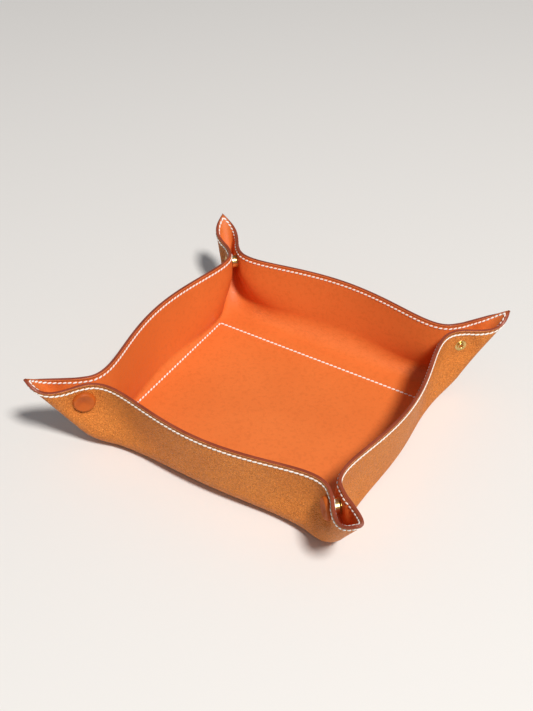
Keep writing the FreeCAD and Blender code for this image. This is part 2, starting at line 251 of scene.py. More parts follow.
def readPoints(mesh):
    co = np.zeros(len(mesh.vertices) * 3)
    mesh.vertices.foreach_get("co", co)
    return co.reshape(-1, 3)


def floatMark(mesh, name, values):
    mark = mesh.attributes.get(name) or mesh.attributes.new(name, "FLOAT", "POINT")
    mark.data.foreach_set("value", np.asarray(values, np.float32))


def readMark(mesh, name):
    values = np.zeros(len(mesh.vertices), np.float32)
    mesh.attributes[name].data.foreach_get("value", values)
    return values


def plainMarks(mesh):
    # for leather with no rim and no bend
    floatMark(mesh, "rimGap", np.full(len(mesh.vertices), farFromRim))
    floatMark(mesh, "bendMark", np.zeros(len(mesh.vertices)))


def newGroup(name, inputs, outputs):
    group = bpy.data.node_groups.new(name, "ShaderNodeTree")
    for label, kind in inputs:
        group.interface.new_socket(label, in_out="INPUT", socket_type=kind)
    for label in outputs:
        group.interface.new_socket(label, in_out="OUTPUT", socket_type="NodeSocketFloat")
    enter = group.nodes.new("NodeGroupInput")
    leave = group.nodes.new("NodeGroupOutput")
    return group, enter, leave


def addNode(tree, kind, values=None, **settings):
    node = tree.nodes.new(kind)
    for key, value in settings.items():
        setattr(node, key, value)
    for key, value in (values or {}).items():
        node.inputs[key].default_value = value
    return node


def join(tree, source, target):
    tree.links.new(source, target)


def textured(tree, kind, place, values, **settings):
    node = addNode(tree, "ShaderNodeTex" + kind, values, **settings)
    join(tree, place, node.inputs["Vector"])
    return node


def math2(tree, operation, a, b=None):
    node = addNode(tree, "ShaderNodeMath", operation=operation)
    for index, value in enumerate((a, b)):
        if value is None:
            continue
        if isinstance(value, (int, float)):
            node.inputs[index].default_value = value
        else:
            join(tree, value, node.inputs[index])
    return node.outputs[0]


def gapTo(tree, value, place):
    return math2(tree, "ABSOLUTE", math2(tree, "SUBTRACT", value, place))


def mixColour(tree, share, a, b):
    node = addNode(tree, "ShaderNodeMix", data_type="RGBA")
    for socket, value in ((node.inputs[0], share), (node.inputs[6], a), (node.inputs[7], b)):
        if isinstance(value, (int, float, tuple)):
            socket.default_value = value
        else:
            join(tree, value, socket)
    return node.outputs[2]


def ranged(tree, value, low, high, toLow=0.0, toHigh=1.0):
    node = addNode(tree, "ShaderNodeMapRange", {1: low, 2: high, 3: toLow, 4: toHigh},
                   interpolation_type="SMOOTHSTEP")
    join(tree, value, node.inputs[0])
    return node.outputs[0]


mottleLook = {"cloud": {"Detail": 4.0, "Roughness": 0.55}, "speck": {"Detail": 3.0, "Roughness": 0.7},
              "speckScale": 24.0, "span": (0.3, 0.7)}
# share is how much painted shade darkens the crease; the depths are bump only
creaseLook = {"at": 1.3, "span": (0.45, 0.0), "share": 0.75, "depth": 1.6,
              "bedSpan": (1.1, 0.1), "bedDepth": 0.9}


def hideMottle():
    # slow cloudy colour and fine specks, shared by all the finishes
    group, enter, leave = newGroup(
        "hideMottle", [("Vector", "NodeSocketVector"), ("Scale", "NodeSocketFloat")], ["Cloud", "Speck"])
    place, scale = enter.outputs["Vector"], enter.outputs["Scale"]
    cloud = textured(group, "Noise", place, mottleLook["cloud"])
    join(group, scale, cloud.inputs["Scale"])
    speck = textured(group, "Noise", place, mottleLook["speck"])
    join(group, math2(group, "MULTIPLY", scale, mottleLook["speckScale"]), speck.inputs["Scale"])
    join(group, ranged(group, cloud.outputs["Fac"], *mottleLook["span"]), leave.inputs["Cloud"])
    join(group, ranged(group, speck.outputs["Fac"], *mottleLook["span"]), leave.inputs["Speck"])
    return group


def rimCrease():
    # the line pressed beside the painted edge, which the finishes darken with painted shade, and the shallow
    # bed that the thread lies in
    group, _, leave = newGroup("rimCrease", [], ["Crease", "Bed"])
    gap = addNode(group, "ShaderNodeAttribute", attribute_name="rimGap").outputs["Fac"]
    toCrease = gapTo(group, gap, creaseLook["at"])
    toBed = gapTo(group, gap, seamInset)
    join(group, ranged(group, toCrease, *creaseLook["span"]), leave.inputs["Crease"])
    join(group, ranged(group, toBed, *creaseLook["bedSpan"]), leave.inputs["Bed"])
    return group


mottleGroup = hideMottle()
creaseGroup = rimCrease()


def newMaterial(name, specular, roughness=0.5):
    material = bpy.data.materials.new(name)
    material.use_nodes = True
    tree = material.node_tree
    shader = next(n for n in tree.nodes if n.type == "BSDF_PRINCIPLED")
    shader.inputs["Roughness"].default_value = roughness
    shader.inputs["Specular IOR Level"].default_value = specular
    place = addNode(tree, "ShaderNodeTexCoord").outputs["Object"]
    return material, tree, shader, place


def mottled(tree, place, scale):
    node = addNode(tree, "ShaderNodeGroup", node_tree=mottleGroup)
    node.inputs["Scale"].default_value = scale
    join(tree, place, node.inputs["Vector"])
    return node


def bumped(tree, shader, height, strength, distance):
    bump = addNode(tree, "ShaderNodeBump", {"Strength": strength, "Distance": distance})
    join(tree, height, bump.inputs["Height"])
    join(tree, bump.outputs["Normal"], shader.inputs["Normal"])


def shareOf(tree, value, share):
    return math2(tree, "MULTIPLY", value, share)


def speckled(tree, shader, mottle, look):
    # specks of lower and higher polish
    join(tree, ranged(tree, mottle.outputs["Speck"], 0.0, 1.0, *look["polish"]), shader.inputs["Roughness"])


def finishLeather(tree, shader, mottle, look, colour, relief):
    # beside the rim the leather has a pressed crease, darkened with painted shade in its groove, and a bed
    # for the stitches
    creaseAndShade = addNode(tree, "ShaderNodeGroup", node_tree=creaseGroup)
    creaseShadeShare = shareOf(tree, creaseAndShade.outputs["Crease"], creaseLook["share"])
    join(tree, mixColour(tree, creaseShadeShare, colour, look["creaseAndShade"]), shader.inputs["Base Color"])
    speckled(tree, shader, mottle, look)
    pressed = math2(tree, "ADD", shareOf(tree, creaseAndShade.outputs["Crease"], creaseLook["depth"]),
                    shareOf(tree, creaseAndShade.outputs["Bed"], creaseLook["bedDepth"]))
    bumped(tree, shader, math2(tree, "SUBTRACT", relief, pressed), *look["bump"])


outerLook = {
    # valleyShade is the dark brown of the painted shade between the pebbles, and of darker clumps in the
    # leather's own tone
    "tan": (0.88, 0.284, 0.050, 1), "honey": (0.95, 0.332, 0.066, 1), "valleyShade": (0.46, 0.124, 0.020, 1),
    # creaseAndShade is the dark of the painted shade in the crease beside the rim
    "creaseAndShade": (0.10, 0.022, 0.01, 1),
    "specular": 0.2, "polish": (0.42, 0.58), "cloud": 24.0, "speckDepth": 0.25,
    "pebbles": {"Scale": 860.0, "Randomness": 0.9}, "dome": 0.45, "valleyWidth": 0.16, "valleyShare": 0.55,
    "warp": 0.0012, "warpNoise": {"Scale": 1000.0, "Detail": 2.0},
    "clumps": {"Scale": 800.0, "Detail": 2.0, "Roughness": 0.6}, "clumpSpan": (0.6, 0.35, 0.0, 0.42),
    "bump": (1.0, 0.00055)}


def outerLeather():
    look = outerLook
    material, tree, shader, place = newMaterial("outerLeather", look["specular"])
    mottle = mottled(tree, place, look["cloud"])
    warp = textured(tree, "Noise", place, look["warpNoise"])
    offset = addNode(tree, "ShaderNodeVectorMath", {"Scale": look["warp"]}, operation="SCALE")
    join(tree, warp.outputs["Color"], offset.inputs[0])
    moved = addNode(tree, "ShaderNodeVectorMath", operation="ADD")
    join(tree, place, moved.inputs[0])
    join(tree, offset.outputs[0], moved.inputs[1])
    pebble = textured(tree, "Voronoi", moved.outputs[0], look["pebbles"], feature="DISTANCE_TO_EDGE")
    dome = ranged(tree, pebble.outputs["Distance"], 0.0, look["dome"])
    valleyShade = ranged(tree, pebble.outputs["Distance"], look["valleyWidth"], 0.0)
    clump = textured(tree, "Noise", place, look["clumps"])
    darker = ranged(tree, clump.outputs["Fac"], *look["clumpSpan"])
    base = mixColour(tree, mottle.outputs["Cloud"], look["tan"], look["honey"])
    # darker clumps are the leather's own tone
    varied = mixColour(tree, darker, base, look["valleyShade"])
    # painted shade in the valleys between the pebbles
    valleyShaded = mixColour(tree, shareOf(tree, valleyShade, look["valleyShare"]), varied, look["valleyShade"])
    relief = math2(tree, "ADD", dome, shareOf(tree, mottle.outputs["Speck"], look["speckDepth"]))
    finishLeather(tree, shader, mottle, look, valleyShaded, relief)
    return material


liningLook = {
    # wrinkleAndShade is the dark of the painted shade in the wrinkles, which the pores also take as their own
    # tone
    "orange": (0.80, 0.198, 0.043, 1), "deep": (0.75, 0.178, 0.037, 1), "wrinkleAndShade": (0.44, 0.085, 0.017, 1),
    # creaseAndShade is the dark of the painted shade in the crease beside the rim
    "creaseAndShade": (0.10, 0.018, 0.008, 1),
    "specular": 0.3, "polish": (0.36, 0.52), "cloud": 16.0, "creasesUp": 42.0, "creasesAlong": 9.0,
    "creaseNoise": {"Scale": 1.0, "Detail": 3.0, "Roughness": 0.55, "Distortion": 0.8},
    "wrinkleWidth": 0.06, "wrinkleShare": 0.4, "wrinkleDepth": 0.8, "poreSpan": (0.55, 0.0, 0.0, 0.16),
    "grain": {"Scale": 1300.0, "Randomness": 1.0}, "grainDepth": 0.45, "speckDepth": 0.15,
    "bump": (0.5, 0.00022)}


def liningLeather():
    look = liningLook
    material, tree, shader, place = newMaterial("liningLeather", look["specular"])
    mottle = mottled(tree, place, look["cloud"])
    marks = {name: addNode(tree, "ShaderNodeAttribute", attribute_name=name).outputs["Fac"]
             for name in ("bendMark", "ringMark", "stationMark")}
    along = addNode(tree, "ShaderNodeCombineXYZ")  # long on the wall and narrow up it, as a bend creases
    join(tree, shareOf(tree, marks["ringMark"], look["creasesUp"]), along.inputs[0])
    join(tree, shareOf(tree, marks["stationMark"], look["creasesAlong"]), along.inputs[1])
    lines = textured(tree, "Noise", along.outputs[0], look["creaseNoise"])
    ridged = gapTo(tree, lines.outputs["Fac"], 0.5)
    # the wrinkles dip by bump and are darkened in colour with painted shade
    wrinkleAndShade = math2(tree, "MULTIPLY", ranged(tree, ridged, look["wrinkleWidth"], 0.0), marks["bendMark"])
    grain = textured(tree, "Voronoi", place, look["grain"], feature="F1")
    pore = ranged(tree, mottle.outputs["Speck"], *look["poreSpan"])
    base = mixColour(tree, mottle.outputs["Cloud"], look["deep"], look["orange"])
    # dark pores are the grain's own tone
    pores = mixColour(tree, pore, base, look["wrinkleAndShade"])
    wrinkleShaded = mixColour(tree, shareOf(tree, wrinkleAndShade, look["wrinkleShare"]), pores, look["wrinkleAndShade"])
    relief = math2(tree, "ADD", shareOf(tree, grain.outputs["Distance"], look["grainDepth"]),
                   shareOf(tree, mottle.outputs["Speck"], look["speckDepth"]))
    wrinkled = math2(tree, "SUBTRACT", relief, shareOf(tree, wrinkleAndShade, look["wrinkleDepth"]))
    finishLeather(tree, shader, mottle, look, wrinkleShaded, wrinkled)
    return material


threadLook = {"dull": (0.92, 0.89, 0.82, 1), "pale": (0.97, 0.95, 0.91, 1), "shade": (0.62, 0.54, 0.44, 1),
              "hollowSpan": (0.45, 0.0, 0.0, 0.2), "specular": 0.4, "roughness": 0.55, "sheen": 0.25,
              "twist": {"Scale": 1.4, "Distortion": 0.6, "Detail": 1.0},
              "cloud": 90.0, "bump": (0.5, 0.00012)}


def waxedThread():
    look = threadLook
    material, tree, shader, place = newMaterial("waxedThread", look["specular"], look["roughness"])
    shader.inputs["Sheen Weight"].default_value = look["sheen"]
    turns = addNode(tree, "ShaderNodeUVMap", uv_map="strand").outputs["UV"]
    twist = textured(tree, "Wave", turns, look["twist"],
                     wave_type="BANDS", bands_direction="DIAGONAL", wave_profile="SIN")
    mottle = mottled(tree, place, look["cloud"])
    waxed = mixColour(tree, mottle.outputs["Cloud"], look["dull"], look["pale"])
    hollow = ranged(tree, twist.outputs["Fac"], *look["hollowSpan"])
    join(tree, mixColour(tree, hollow, waxed, look["shade"]), shader.inputs["Base Color"])
    bumped(tree, shader, twist.outputs["Fac"], *look["bump"])
    return material


# Finishes that are one cloudy colour with fine specks
plainLooks = {
    "edgePaint": {"dark": (0.24, 0.045, 0.020, 1), "light": (0.33, 0.068, 0.031, 1), "cloud": 60.0,
                  "specular": 0.3, "polish": (0.28, 0.45), "bump": (0.25, 0.0002)},
    "stampedBrass": {"dark": (0.62, 0.41, 0.13, 1), "light": (0.80, 0.60, 0.26, 1), "cloud": 150.0,
                     "specular": 0.5, "polish": (0.2, 0.4), "bump": (0.12, 0.0001), "metallic": 1.0},
    # the dark inside the eyelet's bore is painted shade
    "paintedBoreShade": {"dark": (0.030, 0.018, 0.008, 1), "light": (0.060, 0.036, 0.015, 1), "cloud": 200.0,
                      "specular": 0.2, "roughness": 0.7, "bump": (0.2, 0.0001)},
    "fibreBoard": {"dark": (0.20, 0.12, 0.07, 1), "light": (0.33, 0.22, 0.14, 1), "cloud": 80.0,
                   "specular": 0.2, "roughness": 0.8, "bump": (0.3, 0.0002)},
    "capLeather": {"dark": (0.46, 0.092, 0.012, 1), "light": (0.60, 0.135, 0.020, 1), "cloud": 70.0,
                   "specular": 0.2, "polish": (0.34, 0.5), "bump": (0.3, 0.0002)}}


def plainFinish(name):
    look = plainLooks[name]
    material, tree, shader, place = newMaterial(name, look["specular"])
    shader.inputs["Metallic"].default_value = look.get("metallic", 0.0)
    mottle = mottled(tree, place, look["cloud"])
    colour = mixColour(tree, mottle.outputs["Cloud"], look["dark"], look["light"])
    join(tree, colour, shader.inputs["Base Color"])
    if "polish" in look:
        speckled(tree, shader, mottle, look)
    else:
        shader.inputs["Roughness"].default_value = look["roughness"]
    bumped(tree, shader, mottle.outputs["Speck"], *look["bump"])
    return material


outerMaterial = outerLeather()
liningMaterial = liningLeather()
threadMaterial = waxedThread()
edgeMaterial = plainFinish("edgePaint")
brassMaterial = plainFinish("stampedBrass")
boreShadeMaterial = plainFinish("paintedBoreShade")
boardMaterial = plainFinish("fibreBoard")
capMaterial = plainFinish("capLeather")
print("materials made")


def gridPiece(name, rows, columns):
    # a flat grid primitive, with the row and column of each of its points
    deselect()
    bpy.ops.mesh.primitive_grid_add(x_subdivisions=columns - 1, y_subdivisions=rows - 1, size=1)
    obj = bpy.context.active_object
    obj.name = name
    obj.data.name = name
    co = readPoints(obj.data)
    column = np.rint((co[:, 0] + 0.5) * (columns - 1)).astype(int)
    row = np.rint((co[:, 1] + 0.5) * (rows - 1)).astype(int)
    return obj, row, column


liningFace, outerFace, paintFace, seamFace = 0, 1, 2, -1


def layOut(obj, points, facing):
    # the grid's points go to their places, with the faces turned the way given
    mesh = obj.data
    mesh.vertices.foreach_set("co", (points * mm).ravel())
    mesh.update()
    middle = mesh.polygons[len(mesh.polygons) // 2]
    if np.dot(np.array(middle.normal), facing[middle.vertices[0]]) < 0:
        mesh.flip_normals()
    for material in (liningMaterial, outerMaterial, edgeMaterial):
        mesh.materials.append(material)


def sheetGrid(name, wall, flip, rings, stationGrid):
    kind = wallKinds[wall]
    obj, row, column = gridPiece(name, *stationGrid.shape)
    ring, station = rings[row], stationGrid[row, column]
    floatMark(obj.data, "ringMark", ring)
    floatMark(obj.data, "stationMark", station)
    points = placed(wall, gluePoint(kind, ring, station), flip)
    layOut(obj, points, placed(wall, sheetNormal(kind, ring, station), flip))
    return obj


def solidify(obj, thickness, offset=0, faceStep=0, rimStep=0):
    activate(obj)
    shell = obj.modifiers.new("thickness", "SOLIDIFY")
    shell.thickness = thickness * mm
    shell.offset = offset
    shell.material_offset = faceStep
    shell.material_offset_rim = rimStep
    bpy.ops.object.modifier_apply(modifier=shell.name)


# How the rim is rounded, which of its faces are painted, and where the lining wrinkles
rimLook = {"segments": 3, "top": 0.9999, "seamLean": 0.7, "paintFrom": 0.9, "paintLean": 0.85,
           "bendAt": 0.22, "bendWidth": 0.15, "plainBend": 0.3, "cornerAt": 0.95, "cornerWidth": 0.25}


def thicken(obj, wall, flip):
    kind = wallKinds[wall]
    solidify(obj, sheet["thick"], 0, outerFace, paintFace)
    mesh = obj.data
    ring, station = readMark(mesh, "ringMark"), readMark(mesh, "stationMark")
    # each face stands off by the sheet's own normal, so that neighbouring pieces meet without a line
    glue = placed(wall, gluePoint(kind, ring, station), flip)
    normal = placed(wall, sheetNormal(kind, np.clip(ring, 0, 1), station), flip)
    side = np.sign(((readPoints(mesh) / mm - glue) * normal).sum(1))
    mesh.vertices.foreach_set("co", ((glue + normal * side[:, None] * sheet["thick"] / 2) * mm).ravel())
    mesh.update()
    pairs = np.zeros(len(mesh.edges) * 2, np.int32)
    mesh.edges.foreach_get("vertices", pairs)
    pairs = pairs.reshape(-1, 2)
    alongRim = np.abs(station[pairs[:, 0]] - station[pairs[:, 1]]) > tiny
    rimEdge = (ring[pairs] > rimLook["top"]).all(1) & alongRim
    weight = mesh.attributes.new("bevel_weight_edge", "FLOAT", "EDGE")
    weight.data.foreach_set("value", rimEdge.astype(np.float32))
    roundRim = obj.modifiers.new("roundRim", "BEVEL")
    roundRim.limit_method = "WEIGHT"
    roundRim.width = sheet["rimRound"] * mm
    roundRim.segments = rimLook["segments"]
    roundRim.material = paintFace
    bpy.ops.object.modifier_apply(modifier=roundRim.name)
    mesh = obj.data
    ring, station = readMark(mesh, "ringMark"), readMark(mesh, "stationMark")
    onWall = np.clip(ring, 0, 1)
    floatMark(mesh, "rimGap", rimGap(kind, onWall, station))
    atBend = np.exp(-((ring - rimLook["bendAt"]) / rimLook["bendWidth"]) ** 2) * (ring >= 0)
    atCorner = np.exp(-((np.abs(station) - rimLook["cornerAt"]) / rimLook["cornerWidth"]) ** 2)
    floatMark(mesh, "bendMark", atBend * blendTo(rimLook["plainBend"], 1, atCorner))
    # normals come from the sheet itself, so that the seams between pieces don't show
    analytic = placed(wall, sheetNormal(kind, onWall, station), flip)
    alongRing = placed(wall, seamFrame(kind, onWall, station)[1], flip)
    # seams inside the sheet show leather, not paint, and so does the rim's round beside each face
    index = np.zeros(len(mesh.polygons), np.int32)
    mesh.polygons.foreach_get("material_index", index)
    for polygon in mesh.polygons:
        if index[polygon.index] != paintFace:
            continue
        corner = polygon.vertices[0]
        lean = np.dot(polygon.normal, analytic[corner])
        atSeam = abs(np.dot(polygon.normal, alongRing[corner])) > rimLook["seamLean"]
        if atSeam or ring[list(polygon.vertices)].min() < rimLook["paintFrom"]:
            polygon.material_index = liningFace
            index[polygon.index] = seamFace
        elif abs(lean) > rimLook["paintLean"]:
            polygon.material_index = liningFace if lean > 0 else outerFace
    onLining = np.zeros(len(mesh.vertices), bool)
    onOuter = np.zeros(len(mesh.vertices), bool)
    rimNormal = np.full((len(mesh.vertices), 3), tiny)
    for polygon in mesh.polygons:
        points = list(polygon.vertices)
        if index[polygon.index] == liningFace:
            onLining[points] = True
        elif index[polygon.index] == outerFace:
            onOuter[points] = True
        elif index[polygon.index] == paintFace:
            rimNormal[points] += np.array(polygon.normal) * polygon.area
    onFace = np.where(onLining[:, None], analytic, -analytic)
    smooth = np.where((onLining | onOuter)[:, None], onFace, unit(rimNormal))
    normals = np.zeros((len(mesh.loops), 3), np.float32)
    for polygon in mesh.polygons:
        polygon.use_smooth = True
        loops = list(polygon.loop_indices)
        if index[polygon.index] == seamFace:
            normals[loops] = polygon.normal
        else:
            normals[loops] = smooth[list(polygon.vertices)]
    mesh.normals_split_custom_set(normals.tolist())


def sheetPiece(name, wall, flip, rings, stationGrid):
    obj = sheetGrid(name, wall, flip, rings, stationGrid)
    thicken(obj, wall, flip)
    return obj


detail = {"bendRows": 15, "earBendRows": 8, "patchRows": 8, "wallRows": 24, "straightTop": 0.9,
          "rimRows": (0.925, 0.95, 0.97, 0.985, 1.0), "wallColumns": 44, "earColumns": 30, "patchColumns": 22}
floorRing = -1.0
lowRings = np.linspace(0, sheet["bendShare"], detail["bendRows"])[:-1]
earLowRings = np.linspace(splitRing, sheet["bendShare"], detail["earBendRows"])[:-1]
straightRings = np.concatenate([
    np.linspace(sheet["bendShare"], detail["straightTop"], detail["wallRows"]), detail["rimRows"]])
wallRings = np.concatenate([[floorRing], lowRings, straightRings])
earRings = np.concatenate([earLowRings, straightRings])
patchRings = np.concatenate([[floorRing], np.linspace(0, splitRing, detail["patchRows"])])


def foldLine(wall, flip):
    # lower and upper end of the fold between a wall and its ear, and the way across it towards the ear
    kind = wallKinds[wall]
    rings = np.array([splitRing, 1.0])
    ends = placed(wall, gluePoint(kind, rings, foldStation(kind, rings)), flip) * mm
    low, high = Vector(ends[0]), Vector(ends[1])
    beyond = Vector(placed(wall, np.array([[0.0, 1.0, 0.0]]), flip)[0])
    axis = (high - low).normalized()
    return low, high, (beyond - axis * beyond.dot(axis)).normalized()


def earBlend(obj, wall, flip):
    low, high, way = foldLine(wall, flip)
    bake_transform(obj)


def wallBlend(obj):
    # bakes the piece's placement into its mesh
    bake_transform(obj)


# Walls, each from the flat floor up to its painted rim
for wall, kind in wallKinds.items():
    last = foldStation(kind, wallRings)
    half = np.linspace(0, 1, detail["wallColumns"])
    spread = np.concatenate([-half[:0:-1], half])
    obj = sheetPiece(wall + "WallLeather", wall, False, wallRings, last[:, None] * spread[None, :])
    wallBlend(obj)
    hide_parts(wall + "_wall_outer", wall + "_wall_lining")
print("walls made")


def earPanel(name, wall, corner, rings, columns):
    # from the fold beside the wall to the ridge
    flip = flips[wall, corner]
    first = foldStation(wallKinds[wall], rings)
    share = np.linspace(0, 1, columns)
    stationGrid = first[:, None] + (2 - first)[:, None] * share[None, :]
    return sheetPiece(name + "." + corner + "." + halfName(wall), wall, flip, rings, stationGrid)


# Ears, two halves to a corner, with the low corner of the base between them
for corner, pair in corners.items():
    for wall in pair:
        body = "ear_" + corner + "_" + halfName(wall)
        obj = earPanel("earLeather", wall, corner, earRings, detail["earColumns"])
        earBlend(obj, wall, flips[wall, corner])
        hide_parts(body + "_outer", body + "_lining")
        obj = earPanel("baseCorner", wall, corner, patchRings, detail["patchColumns"])
        wallBlend(obj)
print("ears made")

lapLook = {"thick": 1.2, "root": 0.03, "reach": 0.17, "footReach": 0.16, "footRing": 0.22, "footStart": 0.01,
           "footRows": 9, "columns": 7, "smooth": 40, "rows": 26, "rowsFrom": 0.002, "rowsTo": 0.95,
           "topRows": (0.97, 0.98, 0.986, 0.990, 0.994, 0.997, 0.999, 1.0),
           "foldRadius": 0.985, "foldSpare": 14.0, "foldColumns": 9, "foldThick": 0.7, "foldSmooth": 60,
           "paintShare": 0.7, "clearRows": 6}


def acrossRidge(corner, rings, capReach, studReach):
    # points and lining normals on a strip over the ridge, from the capped half to the other one
    count = lapLook["columns"]
    runs = np.linspace(2 - capReach, 2, count), np.linspace(2, 2 - studReach, count)[1:]
    points, normals = [], []
    for wall, stations in zip(corners[corner], runs):
        kind, flip = wallKinds[wall], flips[wall, corner]
        for station in stations:
            at = np.full(len(rings), station)
            points.append(placed(wall, gluePoint(kind, rings, at), flip))
            normals.append(placed(wall, sheetNormal(kind, rings, at), flip))
    return np.stack(points, 1), np.stack(normals, 1)


def lapPiece(name, corner, rings, capReach, studReach):
    # leather that lies inside the sheet at rest and keeps the ridge closed when the halves part
    points, normals = acrossRidge(corner, rings, capReach, studReach)
    obj, row, column = gridPiece(name, *points.shape[:2])
    layOut(obj, points[row, column], normals[row, column])
    solidify(obj, lapLook["thick"], 0, outerFace)
    smoothUnder(lapLook["smooth"])
    plainMarks(obj.data)
    return obj


def ridgeFold(name, corner, rings):
    # the outside of the fold itself: a round from the face of one half to the face of the other
    points, normals = acrossRidge(corner, rings, lapLook["root"], lapLook["root"])
    last = lapLook["columns"] - 1
    ridge = points[:, last]
    outA, outB = -normals[:, last], -normals[:, last + 1]
    turn = np.arccos(np.clip((outA * outB).sum(1), -1, 1))
    side = outB - outA * np.cos(turn)[:, None]
    side /= np.maximum(lengths(side), tiny)[:, None]
    spare = math.radians(lapLook["foldSpare"])
    kind = wallKinds[corners[corner][0]]
    gap = rimGap(kind, rings, np.full(len(rings), 2.0))
    rimRound = sheet["rimRound"]
    low = np.clip(rimRound - gap, 0, None)
    radius = lapLook["foldRadius"] - rimRound + np.sqrt(np.clip(rimRound ** 2 - low ** 2, 0, None))
    rows = []
    for share in np.linspace(0, 1, lapLook["foldColumns"]):
        angle = (-spare + (turn + 2 * spare) * share)[:, None]
        rows.append(ridge + radius[:, None] * (outA * np.cos(angle) + side * np.sin(angle)))
    arc = np.stack(rows, 1)
    obj, row, column = gridPiece(name, *arc.shape[:2])
    layOut(obj, arc[row, column], arc[row, column] - ridge[row])
    floatMark(obj.data, "rimGap", gap[row])
    solidify(obj, lapLook["foldThick"], -1)
    smoothUnder(lapLook["foldSmooth"])
    mesh = obj.data
    floatMark(mesh, "bendMark", np.zeros(len(mesh.vertices)))
    gaps = readMark(mesh, "rimGap")
    for polygon in mesh.polygons:
        painted = gaps[list(polygon.vertices)].mean() < rimRound * lapLook["paintShare"]
        polygon.material_index = paintFace if painted else outerFace
    return obj


ridgeRings = np.concatenate([
    np.linspace(splitRing + lapLook["rowsFrom"], lapLook["rowsTo"], lapLook["rows"]), lapLook["topRows"]])
lapRings = ridgeRings[1:-lapLook["clearRows"]]
footRings = np.linspace(lapLook["footStart"], lapLook["footRing"], lapLook["footRows"])
root, reach, footReach = lapLook["root"], lapLook["reach"], lapLook["footReach"]
for corner in corners:
    capBody, studBody = "ear_" + corner + "_cap_half", "ear_" + corner + "_stud_half"
    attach(ridgeFold("ridgeFold." + corner, corner, ridgeRings), capBody)
    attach(lapPiece("ridgeLap." + corner + ".cap_half", corner, lapRings, root, reach), capBody)
    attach(lapPiece("ridgeLap." + corner + ".stud_half", corner, lapRings, reach, root), studBody)
    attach(lapPiece("footLap." + corner, corner, footRings, footReach, footReach), "base")
print("ridges made")


def floorOutline():
    # the inner border of the walls and the corner pieces, once round the tray
    points = []
    for wall in ("right", "back", "left", "front"):
        kind = wallKinds[wall]
        last = foldStation(kind, np.array([floorRing]))[0]
        half = np.linspace(0, 1, detail["wallColumns"]) * last
        corner = last + (2 - last) * np.linspace(0, 1, detail["patchColumns"])
        one = np.concatenate([half, corner[1:]])
        border = gluePoint(kind, np.full(len(one), floorRing), one)
        run = np.concatenate([placed(wall, border, True)[:0:-1], placed(wall, border, False)])
        if wall in ("back", "left"):
            run = run[::-1]
        points.append(run[:-1])
    return np.concatenate(points)


outline = floorOutline()
deselect()
bpy.ops.mesh.primitive_circle_add(vertices=len(outline), fill_type="NGON")
floorPiece = bpy.context.active_object
floorPiece.name = "baseLeather"
outline[:, 2] = sheet["glue"]
turnOrder = np.argsort(np.arctan2(outline[:, 1], outline[:, 0]))
layOut(floorPiece, outline[turnOrder], np.repeat(upward[None, :], len(outline), 0))
solidify(floorPiece, sheet["thick"], 0, outerFace)
plainMarks(floorPiece.data)
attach(floorPiece, "base")
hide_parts("base_outer", "base_lining")
print("floor made")


stitchLook = {"pitch": 3.0, "length": 2.5, "width": 1.2, "thick": 0.825, "blunt": 0.75,
              "lift": 0.12, "dive": 1.6, "segments": 8, "rings": 6, "outerStretch": 1.28, "outerSlant": 12.0,
              "innerStretch": 1.08, "innerSlant": 15.0}


def stitchModel():
    # one stitch: a short bowed strand whose ends go down into the leather
    deselect()
    bpy.ops.mesh.primitive_uv_sphere_add(
        segments=stitchLook["segments"], ring_count=stitchLook["rings"], radius=0.5)
    model = bpy.context.active_object
    activate(model)
    bpy.ops.transform.rotate(value=math.pi / 2, orient_axis="Y", center_override=(0, 0, 0))
    bpy.ops.object.transform_apply(location=True, rotation=True, scale=True)
    co = np.array([v.co for v in model.data.vertices])
    faces = [list(p.vertices) for p in model.data.polygons]
    bpy.data.objects.remove(model)
    x = np.sign(co[:, 0]) * np.abs(co[:, 0] * 2) ** stitchLook["blunt"] / 2
    bowed = co[:, 2] * stitchLook["thick"] + stitchLook["lift"] - stitchLook["dive"] * np.abs(x) ** 3
    shaped = np.stack([x * stitchLook["length"], co[:, 1] * stitchLook["width"], bowed], 1)
    strand = np.stack([x + 0.5, np.arctan2(co[:, 2], co[:, 1]) / (2 * math.pi) + 0.5], 1)
    return shaped, faces, strand


stitchShape, stitchFaces, stitchStrand = stitchModel()


def stitchRun(name, centres, tangents, normals, outside):
    # copies of the one stitch along a seam; they run closer together on the outside
    sides = unit(np.cross(normals, tangents))
    slant = np.radians(np.where(outside, stitchLook["outerSlant"], stitchLook["innerSlant"]))[:, None]
    stretch = np.where(outside, stitchLook["outerStretch"], stitchLook["innerStretch"])[:, None]
    ahead = tangents * np.cos(slant) + sides * np.sin(slant)
    beside = np.cross(normals, ahead)
    ahead = ahead * stretch
    count, size = len(centres), len(stitchShape)
    axes = np.stack([ahead, beside, normals], 1)
    points = (centres[:, None, :] + stitchShape[None, :, :] @ axes) * mm
    faces = [[v + size * i for v in face] for i in range(count) for face in stitchFaces]
    mesh = bpy.data.meshes.new(name)
    mesh.from_pydata(points.reshape(-1, 3).tolist(), [], faces)
    layer = mesh.uv_layers.new(name="strand")
    loops = np.zeros(len(mesh.loops), np.int32)
    mesh.loops.foreach_get("vertex_index", loops)
    layer.data.foreach_set("uv", stitchStrand[loops % size].ravel())
    mesh.polygons.foreach_set("use_smooth", np.ones(len(mesh.polygons), bool))
    mesh.materials.append(threadMaterial)
    mesh.update()
    obj = linked(name, mesh)
    activate(obj)
    bpy.ops.object.mode_set(mode="EDIT")
    bpy.ops.mesh.select_all(action="SELECT")
    bpy.ops.mesh.normals_make_consistent(inside=False)
    bpy.ops.object.mode_set(mode="OBJECT")
    return obj


